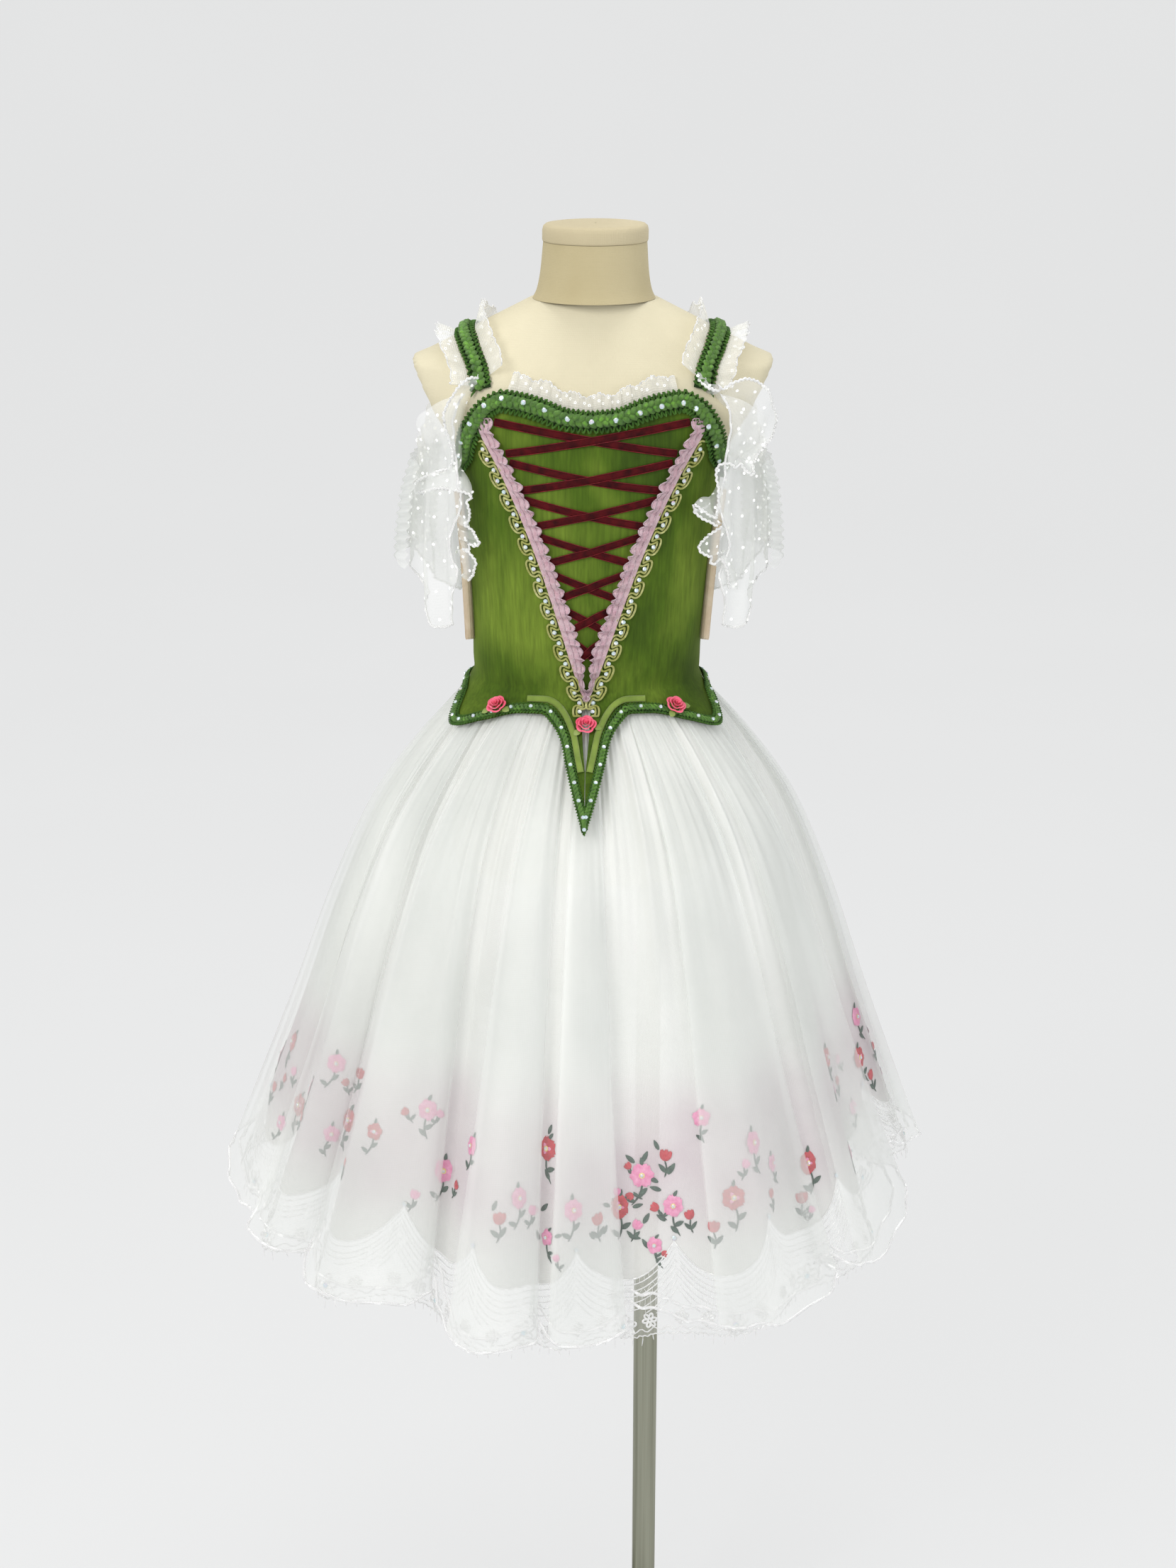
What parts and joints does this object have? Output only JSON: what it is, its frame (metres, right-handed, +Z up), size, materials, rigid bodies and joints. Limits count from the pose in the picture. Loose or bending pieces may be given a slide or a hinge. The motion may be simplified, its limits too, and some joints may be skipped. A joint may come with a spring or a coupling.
{
  "type": "ballet dress on a dress form with stand",
  "caption": "Child's romantic ballet dress with plush bodice, laced front, flounce sleeves and layered sheer skirt, worn by a limbless dress form on a pole stand with a round base.",
  "frame": {"origin": "centre of the round base's underside, on the floor", "axes": "+Z up; the front of the dress faces -Y; +X is to the right when facing the front"},
  "size_m": [0.7387, 0.7221, 1.62],
  "materials": {
    "linen_cover": "fine plain weave, matt",
    "linen_neck": "plain weave, matt",
    "linen_cap": "plain weave, matt",
    "stand_steel": "brushed, satin",
    "olive_plush": "crushed pile with streaks of nap",
    "moss_braid": "plaited braid with looped edges",
    "gimp_braid": "scrolled silky cord",
    "pink_lace": "gathered fine lace",
    "olive_ribbon": "velvet ribbon",
    "burgundy_velvet": "velvet ribbon with a shine at its edges",
    "pink_satin": "folded satin ribbon",
    "white_lace": "white cotton lace",
    "dotted_tulle": "sheer dotted tulle",
    "pleated_net": "sheer pleated net",
    "nude_elastic": "woven elastic",
    "organza": "sheer, soft shine",
    "embroidered_organza": "sheer with embroidered flower sprays"
  },
  "bodies": {
    "root": {"form_torso": "linen_cover", "form_neck": "linen_neck", "form_neck_cap": "linen_cap", "stand_pole": "stand_steel", "stand_base": "stand_steel", "bodice_front_centre": "olive_plush", "bodice_front_left": "olive_plush", "bodice_front_right": "olive_plush", "bodice_back_left": "olive_plush", "bodice_back_right": "olive_plush", "neckline_braid": "moss_braid", "basque_trim": "moss_braid", "neckline_frill": "white_lace", "gimp_left": "gimp_braid", "gimp_right": "gimp_braid", "pink_lace_left": "pink_lace", "pink_lace_right": "pink_lace", "basque_ribbon_left": "olive_ribbon", "basque_ribbon_right": "olive_ribbon", "strap_left": "moss_braid", "strap_right": "moss_braid", "strap_frill_inner_left": "white_lace", "strap_frill_inner_right": "white_lace", "strap_frill_outer_left": "white_lace", "strap_frill_outer_right": "white_lace", "sleeve_flounce_left": "dotted_tulle", "sleeve_flounce_right": "dotted_tulle", "sleeve_net_left": "pleated_net", "sleeve_net_right": "pleated_net", "sleeve_elastic_left": "nude_elastic", "sleeve_elastic_right": "nude_elastic", "lacing_1_fall": "burgundy_velvet", "lacing_1_rise": "burgundy_velvet", "lacing_2_fall": "burgundy_velvet", "lacing_2_rise": "burgundy_velvet", "lacing_3_fall": "burgundy_velvet", "lacing_3_rise": "burgundy_velvet", "lacing_4_fall": "burgundy_velvet", "lacing_4_rise": "burgundy_velvet", "lacing_5_fall": "burgundy_velvet", "lacing_5_rise": "burgundy_velvet", "lacing_6_fall": "burgundy_velvet", "lacing_6_rise": "burgundy_velvet", "lacing_7_fall": "burgundy_velvet", "lacing_7_rise": "burgundy_velvet", "rose_left": "pink_satin", "rose_centre": "pink_satin", "rose_right": "pink_satin", "skirt_overlay_outer": "organza", "skirt_overlay_inner": "organza", "skirt_embroidered": "embroidered_organza", "skirt_lace_front": "white_lace", "skirt_lace_back": "white_lace"}
  },
  "joints": []
}
